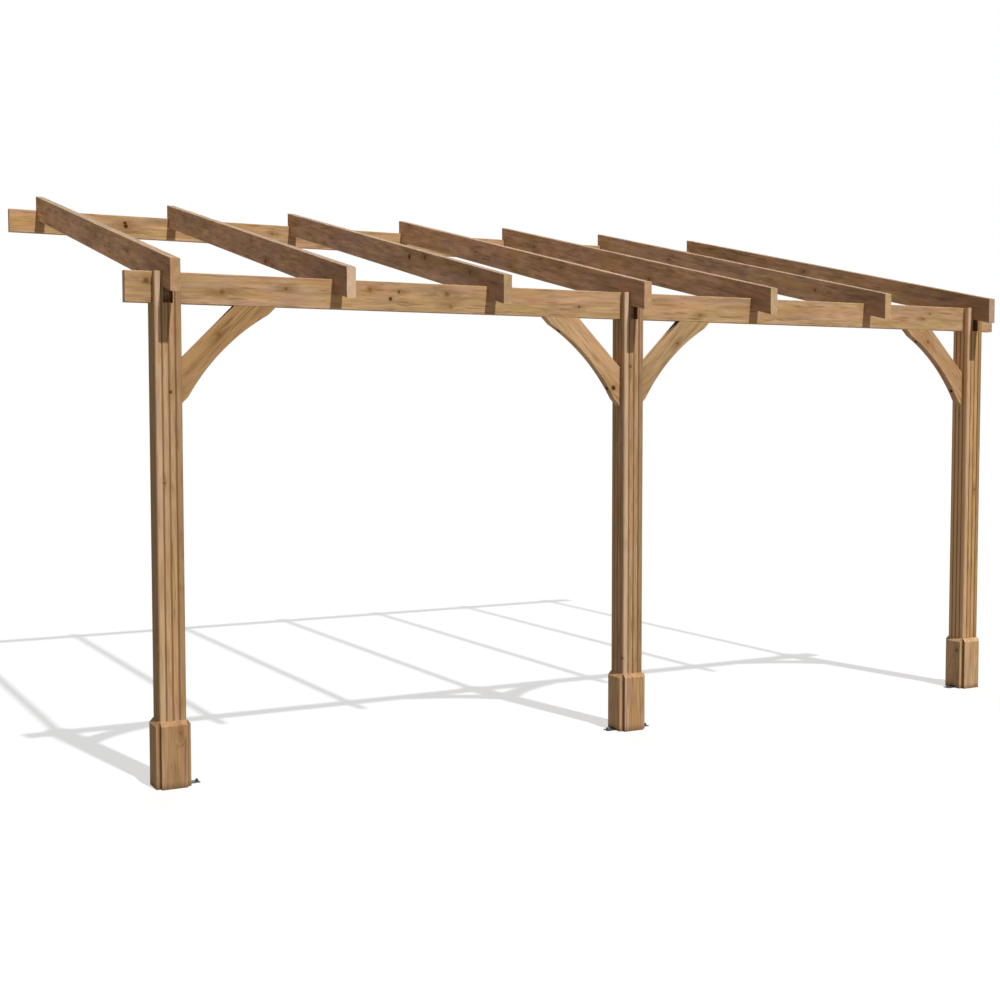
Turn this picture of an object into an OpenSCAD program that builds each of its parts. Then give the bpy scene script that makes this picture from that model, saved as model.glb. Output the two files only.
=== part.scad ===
// Lean-to pergola: rafters fall from a wall plate to a front beam on three slotted, grooved posts.
// Millimetres. Origin at the centre of the wall plate's back face, +X along the front, +Y into the wall, +Z up.

/* [Layout] */
// Distance between rafter centres along the front
rafter_pitch = 820; // [600:10:1000]
// Distance from the wall to the centres of the posts
reach = 2930; // [2000:10:4000]
// Height of the post heads and the front beam above the ground
front_height = 2320; // [2000:10:2600]
// Fall of the rafters towards the front, in degrees
roof_angle = 12; // [5:0.5:20]
// Length of the front beam past the outer posts
beam_overhang = 120; // [40:5:300]
// Length of the wall plate past the outer posts
plate_overhang = 130; // [40:5:300]
// Length of the rafter noses in front of the posts
nose_reach = 130; // [40:5:250]

/* [Timbers] */
// Thickness of the front beam
beam_t = 45; // [35:1:60]
// Height of the front beam
beam_h = 140; // [110:5:200]
// Thickness of the wall plate
plate_t = 45; // [35:1:60]
// Height of the wall plate
plate_h = 140; // [110:5:200]
// Thickness of the rafters
rafter_t = 45; // [35:1:60]
// Depth of the rafters, square to their slope
rafter_h = 140; // [120:5:200]
// Depth of the rafter notches over beam and plate
notch_d = 62; // [30:1:80]
// Radius of the planed edges along the timbers
edge_r = 3; // [1:0.5:5]

/* [Posts] */
// Width of the square posts
post_w = 120; // [100:5:160]
// Strips that the grooves divide each post face into
post_strips = 4; // [2:1:6]
// Width of the V grooves, and of the chamfers on the corners
groove_w = 9; // [4:0.5:12]

/* [Braces] */
// Thickness of the braces
brace_t = 45; // [30:1:60]
// Width of the plank that a brace is cut from
brace_w = 140; // [100:5:160]
// Reach of a brace along the beam and down the post
brace_leg = 454; // [350:2:600]
// Depth of the arc in a brace's lower edge
brace_hollow = 36; // [10:1:50]
// Straight length left at each end of the arc
brace_toe = 52; // [30:1:80]
// Diameter of the screw bores in a brace's lower edge
screw_bore_d = 18; // [8:1:22]
// Distance of a screw bore from the tip of the brace
screw_bore_at = 92; // [70:1:120]
// Wood left under a screw's head
screw_wood = 40; // [20:1:50]

/* [Post shoes] */
// Thickness of the shoe boards
shoe_t = 20; // [15:1:30]
// Height of the shoe boards
shoe_h = 307; // [200:1:400]
// Flat left on top of a shoe board, against the post
shoe_lip = 2; // [1:0.5:8]
// Height of the slope on top of a shoe board
shoe_slope_h = 21; // [10:1:50]
// Radius of the rounded edges of a shoe board
shoe_edge_r = 5; // [1:0.5:6]
// Height of the cut under a shoe board where a bracket foot comes out
shoe_cut_h = 10; // [8:1:25]

/* [Foot brackets] */
// Thickness of the bracket steel
bracket_t = 4; // [2:0.5:6]
// Width of the brackets
bracket_w = 44; // [30:1:80]
// Length of the leg on the post, behind the shoe board
bracket_up = 100; // [60:5:150]
// Length of the leg on the ground, from the post
bracket_out = 71; // [60:1:120]
// Diameter of the anchor hole
anchor_d = 9; // [6:0.5:14]
// Distance from the anchor hole's centre to the tip of the foot
anchor_edge = 11; // [9:1:24]
// Free space beside a bracket foot in the cut of its shoe board
bracket_clear = 5; // [2:1:10]

/* [Hidden] */
$fn = 48;
CUT = 1; // how far a cutting body runs past the face that it cuts
RAFTERS = 7;
MIDDLE = (RAFTERS + 1) / 2;
POST_RAFTERS = [1, MIDDLE, RAFTERS]; // the rafters that lie in post heads
LEFT = -1;
RIGHT = 1;

post_x = [for (i = POST_RAFTERS) (i - MIDDLE) * rafter_pitch];
outer_faces = post_x[2] - post_x[0] + post_w;
post_front_y = -reach - post_w / 2;
nose_y = post_front_y - nose_reach;
beam_front_y = -reach - beam_t / 2;
plate_front_y = -plate_t;
plate_top_z = plate_h / 2;
beam_top_z = plate_top_z - tan(roof_angle) * (plate_front_y - beam_front_y);
beam_under_z = beam_top_z - beam_h;
ground_z = beam_top_z - front_height;
rafter_len = -nose_y / cos(roof_angle);
bend_r = 2 * bracket_t; // outside radius of the bracket's bend

// A plank's section with planed edges, its lower left corner at the origin.
module plank_section(w, h) {
    translate([edge_r, 0])
        square([w - 2 * edge_r, h]);
    translate([0, edge_r])
        square([w, h - 2 * edge_r]);
    for (x = [edge_r, w - edge_r], y = [edge_r, h - edge_r])
        translate([x, y])
            circle(r = edge_r);
}

// A level plank along X that runs past the outer faces of the posts by the overhang.
module level_plank(overhang, front_y, top_z, t, h) {
    length = outer_faces + 2 * overhang;
    translate([-length / 2, front_y, top_z - h])
        rotate([90, 0, 90])
            linear_extrude(length)
                plank_section(t, h);
}

module wall_plate() {
    color("#a5784a")
        level_plank(plate_overhang, plate_front_y, plate_top_z, plate_t, plate_h);
}

module front_beam() {
    color("#b5854f")
        level_plank(beam_overhang, beam_front_y, beam_top_z, beam_t, beam_h);
}

// The uncut plank of a rafter, longer at both ends, with its underside through the foot of the front notch.
module sloping_plank() {
    translate([-rafter_t / 2, beam_front_y, beam_top_z - notch_d])
        rotate([roof_angle, 0, 0])
            translate([0, rafter_len + rafter_h, 0])
                rotate([90, 0, 0])
                    linear_extrude(2 * rafter_len)
                        plank_section(rafter_t, rafter_h);
}

module seat_cut(front_y, top_z, t) {
    translate([-rafter_t / 2 - CUT, front_y, top_z - notch_d - t])
        cube([rafter_t + 2 * CUT, t, notch_d + t]);
}

module rafter(number) {
    slab_h = 2 * rafter_len;
    color("#8d6238")
        translate([(number - MIDDLE) * rafter_pitch, 0, 0])
            difference() {
                intersection() {
                    sloping_plank();
                    translate([-rafter_t, nose_y, -slab_h / 2])
                        cube([2 * rafter_t, -nose_y, slab_h]);
                }
                seat_cut(beam_front_y, beam_top_z, beam_t);
                seat_cut(plate_front_y, plate_top_z, plate_t + CUT);
            }
}

// Square section with V grooves between the strips and chamfers of the same cut on the corners.
module post_section() {
    difference() {
        square(post_w, center = true);
        for (side = [0 : 3], k = [0 : post_strips - 1])
            rotate(side * 90)
                translate([post_w * (k / post_strips - 0.5), -post_w / 2])
                    rotate(45)
                        square(groove_w / sqrt(2), center = true);
    }
}

module post(x) {
    color("#9c6d3f")
        translate([x, -reach, ground_z])
            difference() {
                linear_extrude(front_height)
                    post_section();
                translate([-post_w / 2 - CUT, -beam_t / 2, front_height - beam_h])
                    cube([post_w + 2 * CUT, beam_t, beam_h + CUT]);
                translate([-rafter_t / 2, -post_w / 2 - CUT, front_height - beam_h])
                    cube([rafter_t, post_w + 2 * CUT, beam_h + CUT]);
            }
}

// Outline of a brace on the right of a post: origin where post and beam meet, x along the beam, y up.
module brace_outline() {
    inner = brace_leg - brace_w * sqrt(2);
    half_chord = brace_leg / sqrt(2) - brace_toe;
    arc_r = (half_chord * half_chord + brace_hollow * brace_hollow) / (2 * brace_hollow);
    centre = brace_leg / 2 + (arc_r - brace_hollow) / sqrt(2);
    difference() {
        polygon([[inner, 0], [brace_leg, 0], [0, -brace_leg], [0, -inner]]);
        translate([centre, -centre])
            circle(r = arc_r, $fn = 180);
    }
}

// A bore for a screw head, from its seat out through the brace's lower edge.
module screw_bore() {
    cylinder(d = screw_bore_d, h = brace_leg);
}

module brace(x, side) {
    seat = brace_leg - screw_bore_at;
    color("#b98c58")
        translate([x + side * post_w / 2, -reach + brace_t / 2, beam_under_z])
            mirror([side == LEFT ? 1 : 0, 0, 0])
                rotate([90, 0, 0])
                    difference() {
                        linear_extrude(brace_t)
                            brace_outline();
                        translate([screw_wood, -seat, brace_t / 2])
                            rotate([0, 90, 0])
                                screw_bore();
                        translate([seat, -screw_wood, brace_t / 2])
                            rotate([90, 0, 0])
                                screw_bore();
                    }
}

// Side view of a shoe board: a sloped top, rounded where the slope meets the outer face.
module shoe_profile() {
    tilt = atan2(shoe_t - shoe_lip, shoe_slope_h);
    shoulder = shoe_h - shoe_slope_h;
    run = shoe_edge_r * tan(tilt / 2);
    difference() {
        polygon([[0, 0], [shoe_t, 0], [shoe_t, shoulder], [shoe_lip, shoe_h], [0, shoe_h]]);
        polygon([
            [shoe_t, shoulder - run], [shoe_t + CUT, shoulder],
            [shoe_t - run * sin(tilt), shoulder + run * cos(tilt)]
        ]);
    }
    translate([shoe_t - shoe_edge_r, shoulder - run])
        circle(r = shoe_edge_r);
}

// Top view of a shoe board: rounded on both outer corners.
module shoe_plan() {
    translate([0, -post_w / 2])
        square([shoe_t - shoe_edge_r, post_w]);
    translate([0, shoe_edge_r - post_w / 2])
        square([shoe_t, post_w - 2 * shoe_edge_r]);
    for (y = [shoe_edge_r - post_w / 2, post_w / 2 - shoe_edge_r])
        translate([shoe_t - shoe_edge_r, y])
            circle(r = shoe_edge_r);
}

// A shoe board on the face of a post that looks along local +X; with a bracket it is housed over the bracket.
module shoe_board(with_bracket) {
    difference() {
        intersection() {
            translate([0, post_w / 2, 0])
                rotate([90, 0, 0])
                    linear_extrude(post_w)
                        shoe_profile();
            linear_extrude(shoe_h)
                shoe_plan();
        }
        if (with_bracket) {
            translate([-CUT, -bracket_w / 2, -CUT])
                cube([bracket_t + CUT, bracket_w, bracket_up + CUT]);
            translate([-CUT, -bracket_w / 2 - bracket_clear, -CUT])
                cube([shoe_t + 2 * CUT, bracket_w + 2 * bracket_clear, shoe_cut_h + CUT]);
        }
    }
}

// Puts its children on the face of the post at x that looks along the angle turn, at ground level.
module on_post_face(x, turn) {
    translate([x, -reach, ground_z])
        rotate(turn)
            translate([post_w / 2, 0, 0])
                children();
}

module shoe(x, turn, with_bracket = false) {
    color("#ab7d4a")
        on_post_face(x, turn)
            shoe_board(with_bracket);
}

// Side view of a bracket: a strip with one square bend.
module bracket_profile() {
    translate([0, bend_r])
        square([bracket_t, bracket_up - bend_r]);
    translate([bend_r, 0])
        square([bracket_out - bend_r, bracket_t]);
    intersection() {
        square(bend_r);
        translate([bend_r, bend_r])
            difference() {
                circle(r = bend_r);
                circle(r = bend_r - bracket_t);
            }
    }
}

module bracket(x, turn) {
    color("#4b4d4e")
        on_post_face(x, turn)
            difference() {
                translate([0, bracket_w / 2, 0])
                    rotate([90, 0, 0])
                        linear_extrude(bracket_w)
                            bracket_profile();
                translate([bracket_out - anchor_edge, 0, -CUT])
                    cylinder(d = anchor_d, h = bracket_t + 2 * CUT);
            }
}

wall_plate();
front_beam();
rafter(1);  // rafter_1
rafter(2);  // rafter_2
rafter(3);  // rafter_3
rafter(4);  // rafter_4
rafter(5);  // rafter_5
rafter(6);  // rafter_6
rafter(7);  // rafter_7
post(post_x[0]);  // left_post
post(post_x[1]);  // middle_post
post(post_x[2]);  // right_post
brace(post_x[0], RIGHT);  // left_post_brace
brace(post_x[1], LEFT);  // middle_post_left_brace
brace(post_x[1], RIGHT);  // middle_post_right_brace
brace(post_x[2], LEFT);  // right_post_brace
shoe(post_x[0], 270);  // left_post_front_shoe
shoe(post_x[0], 90);  // left_post_back_shoe
shoe(post_x[0], 180);  // left_post_left_shoe
shoe(post_x[0], 0, true);  // left_post_right_shoe
shoe(post_x[1], 270);  // middle_post_front_shoe
shoe(post_x[1], 90);  // middle_post_back_shoe
shoe(post_x[1], 180, true);  // middle_post_left_shoe
shoe(post_x[1], 0, true);  // middle_post_right_shoe
shoe(post_x[2], 270);  // right_post_front_shoe
shoe(post_x[2], 90);  // right_post_back_shoe
shoe(post_x[2], 180, true);  // right_post_left_shoe
shoe(post_x[2], 0);  // right_post_right_shoe
bracket(post_x[0], 0);  // left_post_bracket
bracket(post_x[1], 180);  // middle_post_left_bracket
bracket(post_x[1], 0);  // middle_post_right_bracket
bracket(post_x[2], 180);  // right_post_bracket
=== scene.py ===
import math

import bmesh
import bpy
from mathutils import Euler, Matrix, Vector


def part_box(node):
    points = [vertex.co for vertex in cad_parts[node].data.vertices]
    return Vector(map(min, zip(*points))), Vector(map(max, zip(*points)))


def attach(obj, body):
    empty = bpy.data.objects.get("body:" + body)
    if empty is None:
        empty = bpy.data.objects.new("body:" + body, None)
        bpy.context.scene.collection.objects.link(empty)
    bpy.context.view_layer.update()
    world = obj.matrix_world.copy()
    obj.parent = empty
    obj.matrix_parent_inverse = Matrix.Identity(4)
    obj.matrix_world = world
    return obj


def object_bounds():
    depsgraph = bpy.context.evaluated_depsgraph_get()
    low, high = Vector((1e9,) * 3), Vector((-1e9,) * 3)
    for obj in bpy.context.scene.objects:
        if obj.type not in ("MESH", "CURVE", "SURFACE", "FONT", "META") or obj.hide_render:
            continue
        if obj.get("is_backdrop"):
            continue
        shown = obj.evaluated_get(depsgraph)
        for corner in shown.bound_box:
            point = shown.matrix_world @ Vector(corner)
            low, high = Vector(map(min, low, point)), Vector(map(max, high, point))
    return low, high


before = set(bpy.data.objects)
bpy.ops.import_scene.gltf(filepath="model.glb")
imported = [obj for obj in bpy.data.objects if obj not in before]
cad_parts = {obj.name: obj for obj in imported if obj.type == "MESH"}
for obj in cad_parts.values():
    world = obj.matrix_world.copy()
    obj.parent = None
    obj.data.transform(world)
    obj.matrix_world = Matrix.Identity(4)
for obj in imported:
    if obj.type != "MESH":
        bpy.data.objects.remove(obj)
cad_low, cad_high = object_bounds()

# Wall plate: one planed softwood plank, 45 by 140 mm, pressure treated to a warm brown.
# It lies flat on a wall, and the rafters are notched over its top edge.


class Value:
    """A shader socket: arithmetic on it adds Math nodes to its tree."""

    def __init__(self, net, socket):
        self.net = net
        self.socket = socket

    def math(self, operation, first, second=0.0):
        return self.net.node("ShaderNodeMath", {"operation": operation}, {0: first, 1: second})

    def __add__(self, other):
        return self.math("ADD", self, other)

    def __radd__(self, other):
        return self.math("ADD", other, self)

    def __sub__(self, other):
        return self.math("SUBTRACT", self, other)

    def __rsub__(self, other):
        return self.math("SUBTRACT", other, self)

    def __mul__(self, other):
        return self.math("MULTIPLY", self, other)

    def __rmul__(self, other):
        return self.math("MULTIPLY", other, self)

    def __truediv__(self, other):
        return self.math("DIVIDE", self, other)

    def __rtruediv__(self, other):
        return self.math("DIVIDE", other, self)

    def __abs__(self):
        return self.math("ABSOLUTE", self)

    def __floor__(self):
        return self.math("FLOOR", self)

    def __or__(self, other):
        """The larger of two masks."""
        return self.math("MAXIMUM", self, other)

    def above(self, low, high):
        """0 below low, 1 above high, and smooth between."""
        return self.net.node(
            "ShaderNodeMapRange",
            {"interpolation_type": "SMOOTHSTEP"},
            {"Value": self, "From Min": low, "From Max": high},
        )

    def below(self, low, high):
        return 1 - self.above(low, high)


class Net:
    """A node tree, and the ways to add nodes to it."""

    def __init__(self, tree):
        self.tree = tree

    def node(self, kind, settings=None, sockets=None, output=0):
        """Adds a node: its settings first, then the values or links of its sockets."""
        made = self.tree.nodes.new(kind)
        for key, setting in (settings or {}).items():
            setattr(made, key, setting)
        for key, value in (sockets or {}).items():
            self.put(made.inputs[key], value)
        return Value(self, made.outputs[output])

    def put(self, socket, value):
        if isinstance(value, Value):
            self.tree.links.new(value.socket, socket)
        else:
            socket.default_value = value

    def outputs(self, value):
        """All outputs of the node that a value comes from."""
        return [Value(self, socket) for socket in value.socket.node.outputs]

    def mix(self, factor, first, second, blend="MIX"):
        settings = {"data_type": "RGBA", "blend_type": blend}
        return self.node("ShaderNodeMix", settings, {0: factor, 6: first, 7: second}, output=2)

    def vector(self, x=0.0, y=0.0, z=0.0):
        return self.node("ShaderNodeCombineXYZ", None, {0: x, 1: y, 2: z})

    def parts(self, vector):
        return self.outputs(self.node("ShaderNodeSeparateXYZ", None, {0: vector}))

    def vector_math(self, operation, first, second=(0.0, 0.0, 0.0), output=0):
        return self.node("ShaderNodeVectorMath", {"operation": operation}, {0: first, 1: second}, output)

    def length(self, vector):
        return self.vector_math("LENGTH", vector, output=1)

    def noise(self, place, scale, detail):
        """Noise that is drawn out by a scale per metre for each axis: three values between 0 and 1."""
        drawn = self.vector_math("MULTIPLY", place, scale)
        sockets = {"Vector": drawn, "Scale": 1.0, "Detail": detail}
        made = self.node("ShaderNodeTexNoise", None, sockets, output=1)
        return self.outputs(self.node("ShaderNodeSeparateColor", None, {0: made}))[:3]


class Finish(Net):
    """A material made of one shader."""

    def __init__(self, name):
        self.material = bpy.data.materials.new(name)
        self.material.use_nodes = True
        super().__init__(self.material.node_tree)
        self.shader = self.tree.nodes["Principled BSDF"]

    def set(self, **sockets):
        for key, value in sockets.items():
            self.put(self.shader.inputs[key.replace("_", " ")], value)

    def dress(self, *nodes):
        for node in nodes:
            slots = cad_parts[node].data.materials
            slots.clear()
            slots.append(self.material)


class Timber(Finish):
    """Treated softwood, solid through the plank: faces, edges and ends cut the same rings and knots.
    turn lays the plank's length on Z, its width on X and its thickness on Y. half is half its width and
    thickness, and pith is the heart of the tree, seen from the middle of the plank or of a glued strip.
    branches are places on the plank, with a radius and how dark and loose the knot is. A branch goes
    through the thickness, or in a glued post only a little way in. tone scales the colour, stain is how
    unevenly the treatment has taken, and cast is how much its colour wanders, where that differs. strip
    is the thickness of the strips that a post is glued up from."""

    EARLY_WOOD = (0.475, 0.286, 0.134, 1)
    LATE_WOOD = (0.205, 0.100, 0.038, 1)
    SAP_WOOD = (0.600, 0.405, 0.225, 1)
    RED_CAST = (0.410, 0.200, 0.100, 1)
    OLIVE_CAST = (0.420, 0.275, 0.085, 1)
    PINK_CAST = (0.540, 0.330, 0.215, 1)
    GREY_CAST = (0.340, 0.220, 0.145, 1)
    KNOT_HALO = (0.310, 0.175, 0.056, 1)
    KNOT_WOOD = (0.190, 0.088, 0.030, 1)
    KNOT_CORE = (0.030, 0.013, 0.006, 1)
    RING_WIDTH = 0.0045
    RING_BEND = 0.034
    SAP_DRIFT = 0.04
    SAP_STARTS = 0.095
    SAP_FULL = 0.112
    SWIRL_LENGTH = 3.0
    SWIRL_PUSH = 0.011
    EDGE_WEAR_AND_HIGHLIGHT_REACH = 0.007
    EDGE_WEAR_AND_HIGHLIGHT_FULL = 0.001
    GRAIN_STRENGTH = 0.6
    GRAIN_HEIGHT = 0.001
    SHEEN = 0.12

    def __init__(self, name, turn, centre, half, pith, seed, tone, branches, stain, cast=None, strip=0.0):
        super().__init__(name)
        cast = stain if cast is None else cast
        self.place = self.node("ShaderNodeTexCoord", output=3)
        middle = self.vector_math("SUBTRACT", self.place, centre)
        laid = self.node("ShaderNodeMapping", None, {"Vector": middle, "Rotation": turn})
        self.across, self.through, self.along = self.parts(laid)
        across, through, number = self.across, self.through, 0.0
        if strip:
            number = math.floor(through / strip)
            through = through - (number + 0.5) * strip

        # Each plank, and each glued strip, is cut from another place in the wood.
        own = self.vector(
            across + number * 0.71 + seed * 1.37,
            through + seed * 0.83,
            self.along + number * 1.93 + seed * 2.71,
        )

        # A knot is where a branch is cut: dark at its core, brown round it, and the grain flows past.
        turned = Euler(turn).to_matrix()
        depth = 1 if strip else 0
        ragged = 0.65 + 0.7 * self.noise(own, (130.0, 130.0, 60.0), 2.0)[0]
        halo, knot, core, swirl = 0.0, 0.0, 0.0, 0.0
        for spot, radius, age in branches:
            offset = self.vector_math("SUBTRACT", laid, turned @ (Vector(spot) - centre))
            near = self.length(self.vector_math("MULTIPLY", offset, (1, depth, 1))) * ragged
            drawn_out = self.vector_math("MULTIPLY", offset, (1, depth, 1 / self.SWIRL_LENGTH))
            halo = near.below(0.8 * radius, 2.6 * radius) | halo
            knot = near.below(0.8 * radius, 1.3 * radius) * (0.35 + 0.6 * age) | knot
            core = near.below(0.5 * radius, 0.95 * radius) * age | core
            swirl = self.length(drawn_out).below(0.3 * radius, 4 * radius) | swirl

        # Growth rings round the pith, bent slowly along the plank, some darker than others.
        bend, cloud, drift = self.noise(own, (4.0, 4.0, 0.9), 2.0)
        straight = self.length(self.vector(across - pith[0], through - pith[1]))
        from_pith = straight + (bend - 0.5) * self.RING_BEND
        rings = (from_pith + swirl * self.SWIRL_PUSH) / self.RING_WIDTH
        ring = math.floor(rings)
        phase = rings - ring
        strength = self.node("ShaderNodeTexWhiteNoise", {"noise_dimensions": "1D"}, {"W": ring + seed})
        late = phase.above(0.30, 0.88) * phase.below(0.90, 1.0) * (0.35 + 0.65 * strength)
        sap = (from_pith + (drift - 0.5) * self.SAP_DRIFT).above(self.SAP_STARTS, self.SAP_FULL)

        # Streaks, flecks, fibres and patches of colour that the stain leaves.
        streak, pale, grey = self.noise(own, (68.0, 68.0, 5.5), 4.0)
        red, olive, dull = self.noise(own, (18.0, 18.0, 2.6), 5.0)
        pink, shade, _ = self.noise(own, (26.0, 26.0, 4.2), 5.0)
        mottle = self.noise(own, (43.0, 43.0, 8.5), 4.0)[0]
        fleck = self.noise(own, (75.0, 75.0, 7.0), 4.0)[1]
        fibre = self.noise(own, (430.0, 430.0, 9.0), 2.0)[0]
        colour = self.mix(late * 0.70, self.EARLY_WOOD, self.LATE_WOOD)
        colour = self.mix(sap * 0.30 + pale.above(0.46, 0.66) * 0.45, colour, self.SAP_WOOD)
        colour = self.mix(streak.above(0.47, 0.68) * 0.50, colour, self.LATE_WOOD)
        colour = self.mix(red.above(0.45, 0.62) * 0.45 * cast, colour, self.RED_CAST)
        colour = self.mix(olive.above(0.43, 0.65) * 0.42 * cast, colour, self.OLIVE_CAST)
        colour = self.mix(pink.above(0.43, 0.65) * 0.42 * cast, colour, self.PINK_CAST)
        faded = dull.above(0.48, 0.66) * grey.above(0.35, 0.6)
        colour = self.mix(faded * 0.50 * cast, colour, self.GREY_CAST)
        colour = self.mix(fleck.above(0.56, 0.72) * 0.60, colour, self.LATE_WOOD)
        colour = self.mix(swirl * (0.12 + 0.55 * mottle.above(0.42, 0.58)), colour, self.LATE_WOOD)
        colour = self.mix(halo * 0.55, colour, self.KNOT_HALO)
        colour = self.mix(knot, colour, self.KNOT_WOOD)
        self.colour = self.mix(core, colour, self.KNOT_CORE)

        # The stain darkens and lifts the wood: four patterns, less the mean of their sum.
        uneven = 0.30 * cloud + 0.50 * mottle + 0.50 * shade + 0.45 * red - 0.875
        level = 0.90 + stain * uneven + 0.16 * fibre
        even = self.node("ShaderNodeCombineColor", None, dict(enumerate(level * part for part in tone)))
        self.colour = self.mix(1.0, self.colour, even, "MULTIPLY")
        self.relief = late * 0.45 + fibre * 0.4 + streak * 0.35 - core * 0.8
        self.gloss = 0.78 - 0.12 * late + 0.16 * fibre

        # Long edges are paler, partly worn and partly a painted highlight where the arris catches light;
        # sawn ends are paler.
        self.normal = self.outputs(self.node("ShaderNodeNewGeometry"))[1]
        across_edge = abs(self.across).above(half[0] - self.EDGE_WEAR_AND_HIGHLIGHT_REACH, half[0] - self.EDGE_WEAR_AND_HIGHLIGHT_FULL)
        through_edge = abs(self.through).above(half[1] - self.EDGE_WEAR_AND_HIGHLIGHT_REACH, half[1] - self.EDGE_WEAR_AND_HIGHLIGHT_FULL)
        self.corner = across_edge * through_edge
        # The long edges get a painted highlight, with some wear.
        self.tint(self.corner * (0.10 + 0.40 * pale), self.SAP_WOOD)
        grain = turned.transposed() @ Vector((0, 0, 1))
        self.end = abs(self.vector_math("DOT_PRODUCT", self.normal, grain, output=1)).above(0.75, 0.95)
        self.tint(self.end * 0.10, self.SAP_WOOD)

    def tint(self, mask, colour):
        self.colour = self.mix(mask, self.colour, colour)

    def dress(self, *nodes):
        sockets = {"Strength": self.GRAIN_STRENGTH, "Distance": self.GRAIN_HEIGHT, "Height": self.relief}
        bump = self.node("ShaderNodeBump", None, sockets)
        self.set(Base_Color=self.colour, Roughness=self.gloss, Normal=bump, Specular_IOR_Level=self.SHEEN)
        super().dress(*nodes)


def middle_of(node):
    low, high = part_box(node)
    return (low + high) / 2


def half_of(node):
    low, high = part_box(node)
    return (high - low) / 2


QUARTER = math.radians(90)
ALONG_X = (0, -QUARTER, 0)
PLANK_STAIN = 0.85
PLANK_CAST = 1.2
PLATE_PITH = (0.02, 0.085)
PLATE_SEED = 1
PLATE_TONE = (1.07, 1.06, 1.00)
PLATE_KNOTS = (
    ((-1.946, 0.0, 0.024), 0.012, 0.9),
    ((-1.940, 0.0, 0.004), 0.015, 1.0),
    ((-0.969, 0.0, 0.011), 0.009, 0.3),
    ((0.51, 0.0, -0.022), 0.007, 0.6),
    ((1.77, 0.0, 0.031), 0.010, 0.8),
)


def level_plank(node, pith, seed, tone, knots):
    half = half_of(node)
    wood = Timber(
        node + "_timber",
        ALONG_X,
        middle_of(node),
        (half.z, half.y),
        pith,
        seed,
        tone,
        knots,
        PLANK_STAIN,
        PLANK_CAST,
    )
    wood.dress(node)


level_plank("wall_plate", PLATE_PITH, PLATE_SEED, PLATE_TONE, PLATE_KNOTS)

# Posts: square softwood posts glued up from four strips, with V grooves down every face and
# chamfered corners. The head is slotted crosswise for the front beam and a rafter, which leaves
# four prongs.
POSTS = ("left_post", "middle_post", "right_post")
POST_STRIPS = 4
POST_PITH = (0.015, 0.065)
FIRST_POST_SEED = 11
POST_STAIN = 0.7
POST_TONES = ((1.07, 1.09, 1.13), (1.00, 1.03, 1.07), (1.17, 1.15, 1.01))
POST_KNOTS = (
    (
        ((-2.4536, -2.99, -1.083), 0.007, 0.8),
        ((-2.486, -2.99, -1.488), 0.006, 0.4),
        ((-2.52, -2.945, -2.2), 0.008, 0.6),
    ),
    (
        ((-0.0228, -2.99, -0.936), 0.009, 0.5),
        ((-0.049, -2.99, -1.87), 0.005, 0.8),
        ((-0.06, -2.982, -2.478), 0.008, 0.9),
    ),
    (
        ((2.475, -2.99, -1.65), 0.007, 0.5),
        ((2.40, -2.93, -1.2), 0.008, 0.7),
    ),
)
PALE_STRIP = (0.650, 0.470, 0.330, 1)
PALE_SHARES = (0.24, 0.50, 0.32)
PRONG_FOOT = -0.72
PRONG_BLEND = 0.05
PRONG_SHARE = 0.27
DARK_STRIP = (0.190, 0.110, 0.052, 1)
DARK_SHARE = 0.40

# The left face of each post lies in the key lamp's shade and gets painted shade or painted light: its
# tint, and how much of it shows.
LEFT_FACE_PAINTED_LIGHT_AND_SHADE = (
    ((0.190, 0.110, 0.045, 1), 0.42),
    ((0.320, 0.165, 0.080, 1), 0.15),
    ((0.720, 0.430, 0.222, 1), 0.62),
)
GROOVE_PAINTED_SHADE = (0.190, 0.090, 0.032, 1)
GROOVE_SHADE_SHARE = 0.5
SLOT_PAINTED_SHADE = (0.085, 0.038, 0.020, 1)
SLOT_SHADE_SHARE = 0.8

for number, post in enumerate(POSTS):
    wide = half_of(post).x
    wood = Timber(
        post + "_timber",
        (0, 0, QUARTER),
        middle_of(post),
        (wide, wide),
        POST_PITH,
        FIRST_POST_SEED + number,
        POST_TONES[number],
        POST_KNOTS[number],
        POST_STAIN,
        strip=2 * wide / POST_STRIPS,
    )
    side_x, side_y, _ = wood.parts(wood.normal)
    groove = abs(side_x * side_y).above(0.2, 0.4) * (1 - wood.corner)
    faces_out = abs(side_y).above(0.5, 0.9)
    prong = wood.parts(wood.place)[2].above(PRONG_FOOT, PRONG_FOOT + PRONG_BLEND)
    first_strip = wood.through.below(-0.52 * wide, -0.48 * wide)
    wood.tint(first_strip * faces_out * (PALE_SHARES[number] + PRONG_SHARE * prong), PALE_STRIP)
    wood.tint(wood.through.above(0.48 * wide, 0.52 * wide) * DARK_SHARE, DARK_STRIP)
    # The left face is painted darker on the left and middle posts and lighter on the right post: painted
    # shade and painted light.
    left_face_painted_tint, left_face_painted_share = LEFT_FACE_PAINTED_LIGHT_AND_SHADE[number]
    wood.tint(side_x.below(-0.95, -0.85) * left_face_painted_share, left_face_painted_tint)
    # The walls of the V grooves are painted dark: painted shade in the creases.
    wood.tint(groove * GROOVE_SHADE_SHARE, GROOVE_PAINTED_SHADE)
    # The inner walls of the head slot are painted dark: painted shade in the recess.
    inner_x = abs(wood.through).below(0.6 * wide, 0.8 * wide) * abs(side_x).above(0.8, 0.95)
    inner_y = abs(wood.across).below(0.6 * wide, 0.8 * wide) * abs(side_y).above(0.8, 0.95)
    wood.tint((inner_x | inner_y) * SLOT_SHADE_SHARE, SLOT_PAINTED_SHADE)
    wood.dress(post)

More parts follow.
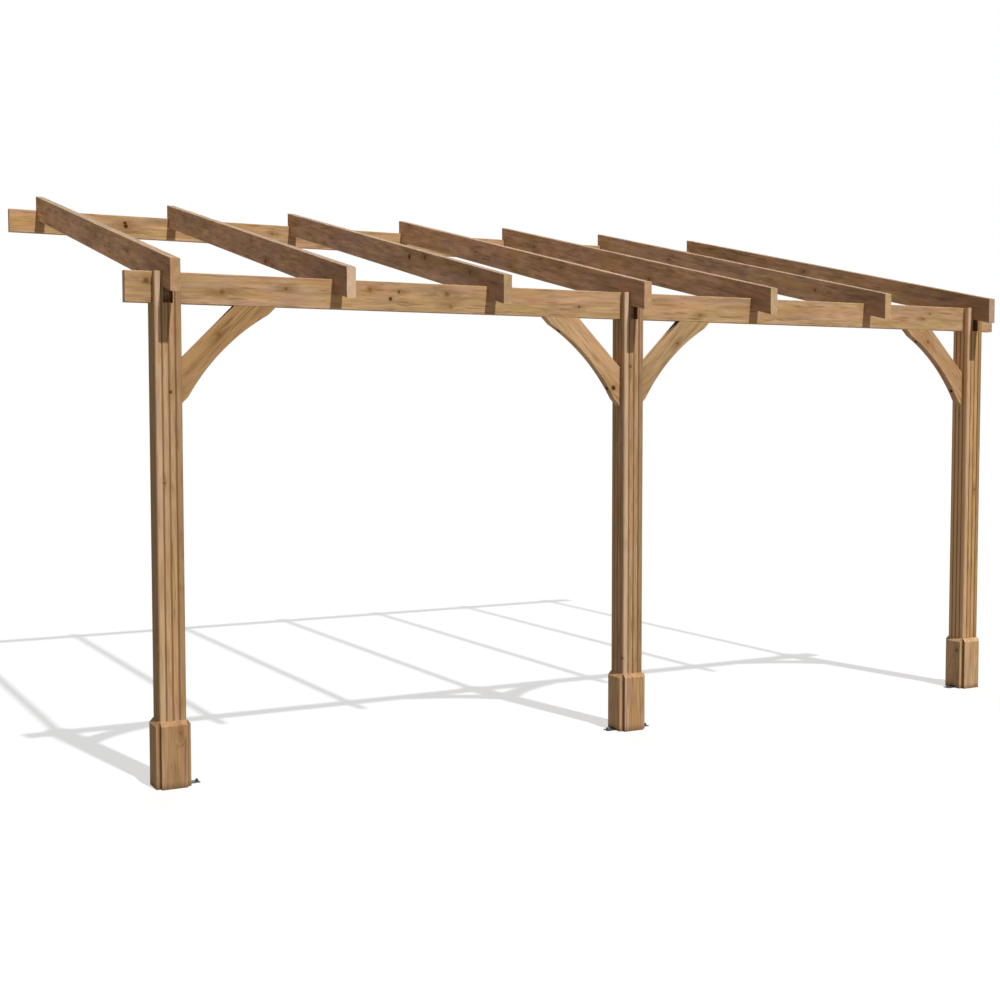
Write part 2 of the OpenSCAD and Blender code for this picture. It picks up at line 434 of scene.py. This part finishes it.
# Front beam: the same plank as the wall plate, laid in the slots of the post heads.
# It runs past both outer posts and is cut square there.
BEAM_PITH = (-0.015, 0.09)
BEAM_SEED = 2
BEAM_TONE = (0.99, 0.99, 0.97)
BEAM_KNOTS = (
    ((-2.546, -2.95, -0.591), 0.014, 0.4),
    ((-2.202, -2.95, -0.629), 0.013, 0.2),
    ((-1.898, -2.95, -0.603), 0.009, 0.3),
    ((-1.478, -2.95, -0.590), 0.011, 0.2),
    ((-1.372, -2.95, -0.630), 0.009, 0.9),
    ((-1.327, -2.95, -0.595), 0.008, 0.6),
    ((-1.070, -2.95, -0.595), 0.013, 0.2),
    ((-1.050, -2.95, -0.655), 0.010, 0.1),
    ((-0.315, -2.95, -0.633), 0.006, 0.9),
    ((0.449, -2.95, -0.651), 0.006, 0.4),
    ((2.071, -2.95, -0.624), 0.008, 0.3),
    ((2.126, -2.95, -0.593), 0.005, 0.9),
)

level_plank("front_beam", BEAM_PITH, BEAM_SEED, BEAM_TONE, BEAM_KNOTS)

# Braces: struts at 45 degrees, sawn from the same plank, with an arc cut in the lower edge.
# Their grain runs up the slope, their ends butt on the post and under the beam, and a bore
# near each tip lets a screw head in. The top edge is painted dark in the corner under the beam: a painted
# shadow of the beam.

# For each brace: the side of the post that it is on, its tone and its knot.
BRACES = {
    "left_post_brace": (1, (0.80, 0.74, 0.60), (((-2.22, -2.95, -0.821), 0.010, 0.1),)),
    "middle_post_left_brace": (-1, (1.13, 1.14, 1.13), (((-0.103, -2.95, -1.049), 0.014, 0.9),)),
    "middle_post_right_brace": (1, (0.91, 0.93, 0.84), (((0.302, -2.95, -0.807), 0.007, 0.4),)),
    "right_post_brace": (-1, (1.00, 0.95, 0.90), (((2.114, -2.95, -0.76), 0.009, 0.3),)),
}
SLOPE = math.radians(45)
BRACE_WIDTH = 0.14
BRACE_PITH = (0.02, 0.08)
FIRST_BRACE_SEED = 21
BRACE_STAIN = 0.7
BORE_RADIUS = 0.009
BORE_FROM_TIP = 0.092
WOOD_UNDER_HEAD = 0.040
ACROSS_BORES = ((0, 1, 1), (1, 1, 0))
BORE_WALL = 0.0001
BORE_BLEND = 0.0006
BORE_SHADE = (0.020, 0.010, 0.006, 1)
BORE_SHARE = 0.9
BEAM_CORNER_PAINTED_SHADOW = (0.035, 0.018, 0.010, 1)
BEAM_SHADOW_REACH = 0.09


def bore_seats(brace):
    """Where the two screw heads sit in a brace: the one into the post, and the one into the beam."""
    low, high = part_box(brace)
    side = BRACES[brace][0]
    post_face, beam_tip = (low.x, high.x) if side > 0 else (high.x, low.x)
    y = middle_of(brace).y
    into_post = Vector((post_face + side * WOOD_UNDER_HEAD, y, low.z + BORE_FROM_TIP))
    into_beam = Vector((beam_tip - side * BORE_FROM_TIP, y, high.z - WOOD_UNDER_HEAD))
    return into_post, into_beam


for number, (brace, (side, tone, knots)) in enumerate(BRACES.items()):
    to_corner = Vector((-side, 0, 1)).normalized() * BRACE_WIDTH / 2
    wood = Timber(
        brace + "_timber",
        (0, -side * SLOPE, 0),
        middle_of(brace) + to_corner,
        (BRACE_WIDTH / 2, half_of(brace).y),
        BRACE_PITH,
        FIRST_BRACE_SEED + number,
        tone,
        knots,
        BRACE_STAIN,
    )
    for seat, across_bore in zip(bore_seats(brace), ACROSS_BORES):
        from_seat = wood.vector_math("SUBTRACT", wood.place, seat)
        from_axis = wood.length(wood.vector_math("MULTIPLY", from_seat, across_bore))
        in_bore = from_axis.below(BORE_RADIUS + BORE_WALL, BORE_RADIUS + BORE_BLEND)
        wood.tint(in_bore * BORE_SHARE, BORE_SHADE)
    # The top edge is painted dark just under the beam: a painted shadow of the beam.
    faces_corner = wood.vector_math("DOT_PRODUCT", wood.normal, to_corner.normalized(), output=1)
    on_top = faces_corner.above(0.8, 0.95)
    beam_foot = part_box(brace)[1].z
    under_beam = wood.parts(wood.place)[2].above(beam_foot - BEAM_SHADOW_REACH, beam_foot)
    wood.tint(on_top * under_beam, BEAM_CORNER_PAINTED_SHADOW)
    wood.dress(brace)

# Rafters: planks on edge that fall to the front, notched over plate and beam, with plumb cut noses.
# They are the same planed softwood, with the stain taken unevenly; their grain follows the fall of the
# roof, their sides darken towards the nose, and their top edges are painted greyer and darker: partly
# grey weathering, partly painted shade that holds back the key lamp's light on the tops.
FALL = math.radians(12)
RAFTERS = 7
RAFTER_DEPTH = 0.14
RAFTER_PITH = (0.02, 0.08)
FIRST_RAFTER_SEED = 31
RAFTER_STAIN = 1.6
RAFTER_CAST = 1.3
RAFTER_TONES = (
    (1.09, 1.00, 0.97),
    (1.07, 1.01, 1.08),
    (1.16, 1.11, 1.18),
    (1.22, 1.13, 1.17),
    (1.20, 1.10, 1.15),
    (1.18, 1.14, 1.19),
    (1.11, 1.06, 1.05),
)
NOSE_ENDS = (
    (0.390, 0.240, 0.125, 1),
    (0.720, 0.560, 0.367, 1),
    (0.390, 0.277, 0.144, 1),
    (0.365, 0.233, 0.126, 1),
    (0.466, 0.378, 0.215, 1),
    (0.480, 0.340, 0.148, 1),
    (0.320, 0.258, 0.220, 1),
)
END_SHARE = 0.5
NOSE_SIDE_DARKENING = (0.150, 0.088, 0.070, 1)
NOSE_SHARE = 0.42
NOSE_DARK = 0.10
NOSE_FADE = 0.75
TOP_WEATHER_AND_SHADE = (0.280, 0.217, 0.151, 1)
TOP_GRAIN_WEATHER_AND_SHADE = (0.145, 0.106, 0.068, 1)
TOP_WEATHER_AND_SHADE_SHARE = 0.72

# The knots of each rafter: a place in Y and Z, a radius, and how dark and loose the knot is.
RAFTER_KNOTS = (
    ((-0.62, -0.01, 0.007, 0.5), (-1.651, -0.251, 0.010, 0.3), (-2.35, -0.40, 0.008, 0.5)),
    ((-1.963, -0.374, 0.012, 0.7), (-1.723, -0.239, 0.009, 0.3), (-0.85, -0.06, 0.008, 0.4)),
    ((-2.000, -0.313, 0.017, 0.9), (-2.205, -0.337, 0.013, 0.6), (-2.750, -0.461, 0.012, 0.4)),
    ((-1.185, -0.168, 0.008, 0.5), (-2.254, -0.360, 0.006, 0.4)),
    ((-0.48, -0.02, 0.007, 0.6), (-1.93, -0.36, 0.008, 0.7)),
    ((-0.95, -0.11, 0.006, 0.5), (-2.51, -0.44, 0.008, 0.6)),
    ((-1.42, -0.20, 0.008, 0.6), (-2.21, -0.41, 0.006, 0.4)),
)

for number in range(RAFTERS):
    rafter = f"rafter_{number + 1}"
    wood = Timber(
        rafter + "_timber",
        (QUARTER - FALL, 0, QUARTER),
        middle_of(rafter),
        (RAFTER_DEPTH / 2, half_of(rafter).x),
        RAFTER_PITH,
        FIRST_RAFTER_SEED + number,
        RAFTER_TONES[number],
        [((0.0, y, z), radius, age) for y, z, radius, age in RAFTER_KNOTS[number]],
        RAFTER_STAIN,
        RAFTER_CAST,
    )
    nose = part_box(rafter)[0].y
    to_side, _, to_top = wood.parts(wood.normal)
    # The sides are made darker towards the nose.
    near_nose = wood.parts(wood.place)[1].below(nose + NOSE_DARK, nose + NOSE_FADE)
    wood.tint(abs(to_side).above(0.7, 0.9) * near_nose * NOSE_SHARE, NOSE_SIDE_DARKENING)
    # The top edges are painted greyer and darker: grey weathering, and painted shade against the key
    # lamp's light on the tops.
    weathered_and_shaded = wood.mix(wood.relief.above(0.36, 0.72), TOP_WEATHER_AND_SHADE, TOP_GRAIN_WEATHER_AND_SHADE)
    wood.tint(to_top.above(0.6, 0.9) * TOP_WEATHER_AND_SHADE_SHARE, weathered_and_shaded)
    wood.tint(wood.end * END_SHARE, NOSE_ENDS[number])
    wood.dress(rafter)

# Shoes: four short upright softwood boards round each post foot, with a sloped top edge.
# Each board is as wide as the post, so the corners between the boards stay open; the faces in them are
# painted dark, a painted shade.
# The lower ends stand on the ground and are made darker towards the bottom.
SHOE_FACES = {"front": 0, "back": 0, "left": QUARTER, "right": QUARTER}
SHOE_PITH = (0.03, 0.07)
FIRST_SHOE_SEED = 41
SHOE_STAIN = 0.7
SHOE_TONES = ((0.81, 0.80, 0.81), (0.92, 0.89, 0.89), (1.06, 1.10, 1.13))
SHOE_KNOTS = {
    "left_post_front_shoe": (((-2.433, -3.0, -2.617), 0.007, 0.1),),
    "right_post_left_shoe": (((2.4, -2.962, -2.635), 0.009, 0.5),),
}
SHOE_EDGE_HIGHLIGHT = (0.620, 0.440, 0.300, 1)
SHOE_EDGE_HIGHLIGHT_SHARES = (0.05, 0.55, 0.45)
LEFT_SHOE_PAINTED_LIGHT = (1.0, 1.22, 1.1)
SHOE_CORNER_PAINTED_SHADE = (0.150, 0.080, 0.022, 1)
SHOE_CORNER_SHADE_SHARE = 0.7
FOOT_DARKENING = (0.085, 0.050, 0.026, 1)
FOOT_DARKENING_SHARE = 0.55
FOOT_DARKENING_HEIGHT = 0.035

for number, post in enumerate(POSTS):
    for side, (face, turn) in enumerate(SHOE_FACES.items()):
        board = f"{post}_{face}_shoe"
        half = half_of(board)
        wide, thick = max(half.x, half.y), min(half.x, half.y)
        # The left boards, which face away from the key lamp, are made lighter: painted light.
        left_shoe_light = LEFT_SHOE_PAINTED_LIGHT[number] if face == "left" else 1
        wood = Timber(
            board + "_timber",
            (0, 0, turn),
            middle_of(board),
            (wide, thick),
            SHOE_PITH,
            FIRST_SHOE_SEED + len(SHOE_FACES) * number + side,
            [part * left_shoe_light for part in SHOE_TONES[number]],
            SHOE_KNOTS.get(board, ()),
            SHOE_STAIN,
        )
        to_side, to_front, _ = wood.parts(wood.normal)
        # The long edges of the boards get a painted highlight, as on rounded arrises.
        wood.tint(wood.corner * SHOE_EDGE_HIGHLIGHT_SHARES[number], SHOE_EDGE_HIGHLIGHT)
        # The faces in the open corners between the boards are painted dark: painted shade in the recess.
        if turn == 0:
            wood.tint(abs(to_side).above(0.8, 0.97) * SHOE_CORNER_SHADE_SHARE, SHOE_CORNER_PAINTED_SHADE)
        else:
            inward = wood.through if face == "left" else 0 - wood.through
            in_corner = inward.above(0.0, thick / 2) * abs(to_front).above(0.8, 0.97)
            wood.tint(in_corner * SHOE_CORNER_SHADE_SHARE, SHOE_CORNER_PAINTED_SHADE)
        # Each board is made darker towards its foot.
        wood.tint((wood.along + half.z).below(0.0, FOOT_DARKENING_HEIGHT) * FOOT_DARKENING_SHARE, FOOT_DARKENING)
        wood.dress(board)

# Foot brackets: flat steel bent to an angle, with a dull dark zinc coat.
# The upright lies between post and board, and the foot comes out under the board for one anchor.
BRACKETS = (
    "left_post_bracket",
    "middle_post_left_bracket",
    "middle_post_right_bracket",
    "right_post_bracket",
)
STEEL = (0.070, 0.073, 0.066, 1)
STEEL_WORN = (0.26, 0.26, 0.25, 1)
SPANGLE_SCALE = (110.0, 110.0, 110.0)

steel = Finish("dark_zinc_steel")
steel_place = steel.node("ShaderNodeTexCoord", output=3)
spangle, dull, _ = steel.noise(steel_place, SPANGLE_SCALE, 4.0)
wear = spangle.above(0.50, 0.70)
steel.set(
    Base_Color=steel.mix(wear * 0.6, STEEL, STEEL_WORN),
    Roughness=0.62 - 0.2 * wear + 0.1 * dull,
    Metallic=0.75,
    Normal=steel.node("ShaderNodeBump", None, {"Strength": 0.3, "Distance": 0.0004, "Height": spangle}),
)
steel.dress(*BRACKETS)

# Anchors: a threaded M8 stud at each bracket, with a washer and a hexagon nut pulled down on the foot.
# They are of the same dark zinc coated steel.
BRACKET_THICKNESS = 0.004
ANCHOR_FROM_TIP = 0.011
STUD_RADIUS = 0.004
STUD_SIDES = 24
STUD_TOP = 0.0125
STUD_SUNK = 0.001
THREAD_PITCH = 0.00125
THREAD_ROOT = 0.84
NUT_SIDES = 6
NUT_WIDTH = 0.013
NUT_HEIGHT = 0.0065
NUT_EDGE = 0.0008
WASHER_SIDES = 40
WASHER_RADIUS = 0.008
WASHER_HEIGHT = 0.0016
WASHER_EDGE = 0.0004
TOUCH = 1e-5


def soften(form, edges, offset):
    bmesh.ops.bevel(
        form,
        geom=edges,
        offset=offset,
        offset_type="OFFSET",
        segments=2,
        profile=0.5,
        affect="EDGES",
        material=-1,
    )


def disc(form, segments, radius, height, base):
    """A flat round or hexagonal piece that stands on base."""
    verts = bmesh.ops.create_cone(
        form, cap_ends=True, segments=segments, radius1=radius, radius2=radius, depth=height
    )["verts"]
    bmesh.ops.translate(form, verts=verts, vec=(0, 0, base + height / 2))
    return verts


def grow(form, loop, radius, rise):
    """Draws a round edge loop up to a new radius and gives the new loop."""
    grown = bmesh.ops.extrude_edge_only(form, edges=loop)["geom"]
    verts = [item for item in grown if isinstance(item, bmesh.types.BMVert)]
    scale = radius / verts[0].co.xy.length
    bmesh.ops.scale(form, verts=verts, vec=(scale, scale, 1))
    bmesh.ops.translate(form, verts=verts, vec=(0, 0, rise))
    return [item for item in grown if isinstance(item, bmesh.types.BMEdge)]


def place_piece(name, form, turn, where):
    """Turns a form, moves it to its place and adds it as a steel piece."""
    bmesh.ops.recalc_face_normals(form, faces=form.faces)
    bmesh.ops.rotate(form, verts=form.verts, cent=(0, 0, 0), matrix=turn)
    bmesh.ops.translate(form, verts=form.verts, vec=where)
    mesh = bpy.data.meshes.new(name)
    form.to_mesh(mesh)
    form.free()
    mesh.materials.append(steel.material)
    piece = bpy.data.objects.new(name, mesh)
    bpy.context.scene.collection.objects.link(piece)
    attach(piece, "root")


def edges_of(form, verts):
    return [edge for edge in form.edges if edge.verts[0] in verts]


def is_level(edge):
    first, second = edge.verts
    return abs(first.co.z - second.co.z) < TOUCH


def anchor_form():
    form = bmesh.new()
    disc(form, WASHER_SIDES, WASHER_RADIUS, WASHER_HEIGHT, 0.0)
    soften(form, [edge for edge in form.edges if is_level(edge)], WASHER_EDGE)
    nut_radius = NUT_WIDTH / 2 / math.cos(math.pi / NUT_SIDES)
    nut = disc(form, NUT_SIDES, nut_radius, NUT_HEIGHT, WASHER_HEIGHT)
    soften(form, edges_of(form, nut), NUT_EDGE)
    foot = WASHER_HEIGHT + NUT_HEIGHT - STUD_SUNK
    stud = bmesh.ops.create_circle(form, segments=STUD_SIDES, radius=STUD_RADIUS * THREAD_ROOT)["verts"]
    bmesh.ops.translate(form, verts=stud, vec=(0, 0, foot))
    loop = edges_of(form, stud)
    for _ in range(int((STUD_TOP - foot) / THREAD_PITCH)):
        loop = grow(form, loop, STUD_RADIUS, THREAD_PITCH / 2)
        loop = grow(form, loop, STUD_RADIUS * THREAD_ROOT, THREAD_PITCH / 2)
    bmesh.ops.contextual_create(form, geom=loop)
    return form


for bracket in BRACKETS:
    low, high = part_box(bracket)
    post = min(POSTS, key=lambda name: (middle_of(name) - middle_of(bracket)).length)
    on_right = middle_of(bracket).x > middle_of(post).x
    x = high.x - ANCHOR_FROM_TIP if on_right else low.x + ANCHOR_FROM_TIP
    where = (x, (low.y + high.y) / 2, low.z + BRACKET_THICKNESS)
    place_piece(bracket.replace("bracket", "anchor"), anchor_form(), Matrix.Identity(3), where)

# Brace screws: two structural screws in each brace, one into the post and one up into the beam.
# They are of the same dark zinc coated steel. The flanged heads, with a star drive, sit at the
# bottom of the bores.
HEAD_RADIUS = 0.0066
HEAD_SIDES = 24
HEAD_HEIGHT = 0.0034
HEAD_EDGE = 0.0009
DRIVE_RADIUS = 0.0031
DRIVE_DEPTH = 0.0022
DRIVE_LOBES = 6
LOBE_SHARE = 0.22
SHANK_RADIUS = 0.003
SHANK_LENGTH = 0.080
POINT_LENGTH = 2 * SHANK_RADIUS
POINT_SHARE = 0.1


def on_head_rim(vert):
    return vert.co.xy.length > HEAD_RADIUS - TOUCH and vert.co.z > HEAD_HEIGHT - TOUCH


def screw_form():
    form = bmesh.new()
    disc(form, HEAD_SIDES, HEAD_RADIUS, HEAD_HEIGHT, 0.0)
    top = max(form.faces, key=lambda face: face.calc_center_median().z)
    foot = min(form.faces, key=lambda face: face.calc_center_median().z)
    bmesh.ops.inset_region(form, faces=[top], thickness=HEAD_RADIUS - DRIVE_RADIUS)
    for vert in top.verts:
        lobe = 0.5 + 0.5 * math.cos(DRIVE_LOBES * math.atan2(vert.co.y, vert.co.x))
        vert.co.xy *= 1 - LOBE_SHARE + LOBE_SHARE * lobe
    recess = bmesh.ops.extrude_discrete_faces(form, faces=[top])["faces"]
    bmesh.ops.translate(form, verts=recess[0].verts, vec=(0, 0, -DRIVE_DEPTH))
    bmesh.ops.inset_region(form, faces=[foot], thickness=HEAD_RADIUS - SHANK_RADIUS)
    shank = bmesh.ops.extrude_discrete_faces(form, faces=[foot])["faces"]
    bmesh.ops.translate(form, verts=shank[0].verts, vec=(0, 0, -SHANK_LENGTH))
    point = bmesh.ops.extrude_discrete_faces(form, faces=shank)["faces"]
    bmesh.ops.scale(form, verts=point[0].verts, vec=(POINT_SHARE, POINT_SHARE, 1))
    bmesh.ops.translate(form, verts=point[0].verts, vec=(0, 0, -POINT_LENGTH))
    rim = [edge for edge in form.edges if all(on_head_rim(vert) for vert in edge.verts)]
    soften(form, rim, HEAD_EDGE)
    return form


for brace in BRACES:
    into_post, into_beam = bore_seats(brace)
    sideways = Matrix.Rotation(BRACES[brace][0] * QUARTER, 3, "Y")
    place_piece(brace + "_post_screw", screw_form(), sideways, into_post)
    place_piece(brace + "_beam_screw", screw_form(), Matrix.Rotation(2 * QUARTER, 3, "X"), into_beam)

# Floor and backdrop: one pale sheet, white to the camera and in reflections, that keeps a light shadow.
# To other rays it is a grey floor, so that it doesn't light the timber from below.
FLOOR_SIZE = 60.0
FLOOR_SEEN = (0.70, 0.70, 0.70, 1)
FLOOR_BOUNCE = (0.30, 0.30, 0.30, 1)
FLOOR_GLOW = 0.58
WHITE = (1, 1, 1, 1)


def seen_rays(net):
    """1 for what the camera sees straight, mirrored or through glass."""
    rays = {ray.socket.name: ray for ray in net.outputs(net.node("ShaderNodeLightPath"))}
    return rays["Is Camera Ray"] | rays["Is Glossy Ray"] | rays["Is Transmission Ray"]


floor_form = bmesh.new()
bmesh.ops.create_grid(floor_form, x_segments=1, y_segments=1, size=FLOOR_SIZE)
bmesh.ops.translate(floor_form, verts=floor_form.verts, vec=(0, 0, cad_low.z))
floor_mesh = bpy.data.meshes.new("floor")
floor_form.to_mesh(floor_mesh)
floor_form.free()
floor = bpy.data.objects.new("floor", floor_mesh)
bpy.context.scene.collection.objects.link(floor)
floor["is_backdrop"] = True

paper = Finish("pale_floor")
seen = seen_rays(paper)
matt = paper.node("ShaderNodeBsdfDiffuse", None, {"Color": paper.mix(seen, FLOOR_BOUNCE, FLOOR_SEEN)})
glow = paper.node("ShaderNodeEmission", None, {"Color": WHITE, "Strength": 1.0})
sheet = paper.node("ShaderNodeMixShader", None, {0: seen * FLOOR_GLOW, 1: matt, 2: glow})
paper.put(paper.tree.nodes["Material Output"].inputs["Surface"], sheet)
floor_mesh.materials.append(paper.material)

# Light: a key lamp, high and a little to the right of the front, and a wide fill from behind.
# An even, slightly warm sky lights the rest, and shows white to the camera.
# For each lamp: the way it shines, its strength, its width in degrees and its colour.
LAMPS = {
    "key": (Vector((-24.0, 137.0, -232.0)), 4.2, 1.2, (1.0, 1.0, 1.0)),
    "back_fill": (Vector((-60.0, -130.0, -65.0)), 1.0, 40.0, (1.0, 0.95, 0.93)),
}
SKY = 0.26
SKY_TINT = (1.0, 0.95, 0.93, 1)

scene = bpy.context.scene
for name, (towards, strength, width, tint) in LAMPS.items():
    lamp = bpy.data.lights.new(name, "SUN")
    lamp.energy = strength
    lamp.angle = math.radians(width)
    lamp.color = tint
    lamp_object = bpy.data.objects.new(name, lamp)
    lamp_object.rotation_mode = "QUATERNION"
    lamp_object.rotation_quaternion = towards.to_track_quat("-Z", "Y")
    scene.collection.objects.link(lamp_object)

world = bpy.data.worlds.new("studio")
world.use_nodes = True
scene.world = world
sky = Net(world.node_tree)
seen = seen_rays(sky)
backdrop = sky.tree.nodes["Background"]
sky.put(backdrop.inputs["Strength"], SKY + (1 - SKY) * seen)
sky.put(backdrop.inputs["Color"], sky.mix(seen, SKY_TINT, WHITE))

# Camera: at standing eye height, in front of the left end.
# The small shift puts the part where the picture has it.
EYE = Vector((-4.1536, -9.3592, -1.157))
TURN_RIGHT = 28.468
TILT_DOWN = 3.15
LENS = 51.737
SENSOR = 36.0
SHIFT = (-0.0169, -0.0123)
FAR = 200.0

camera = bpy.data.cameras.new("camera")
camera.sensor_width = SENSOR
camera.lens = LENS
camera.shift_x, camera.shift_y = SHIFT
camera.clip_end = FAR
camera_object = bpy.data.objects.new("camera", camera)
camera_object.location = EYE
camera_object.rotation_euler = (math.radians(90 - TILT_DOWN), 0, math.radians(-TURN_RIGHT))
scene.collection.objects.link(camera_object)
scene.camera = camera_object
scene.view_settings.view_transform = "Standard"

low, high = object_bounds()
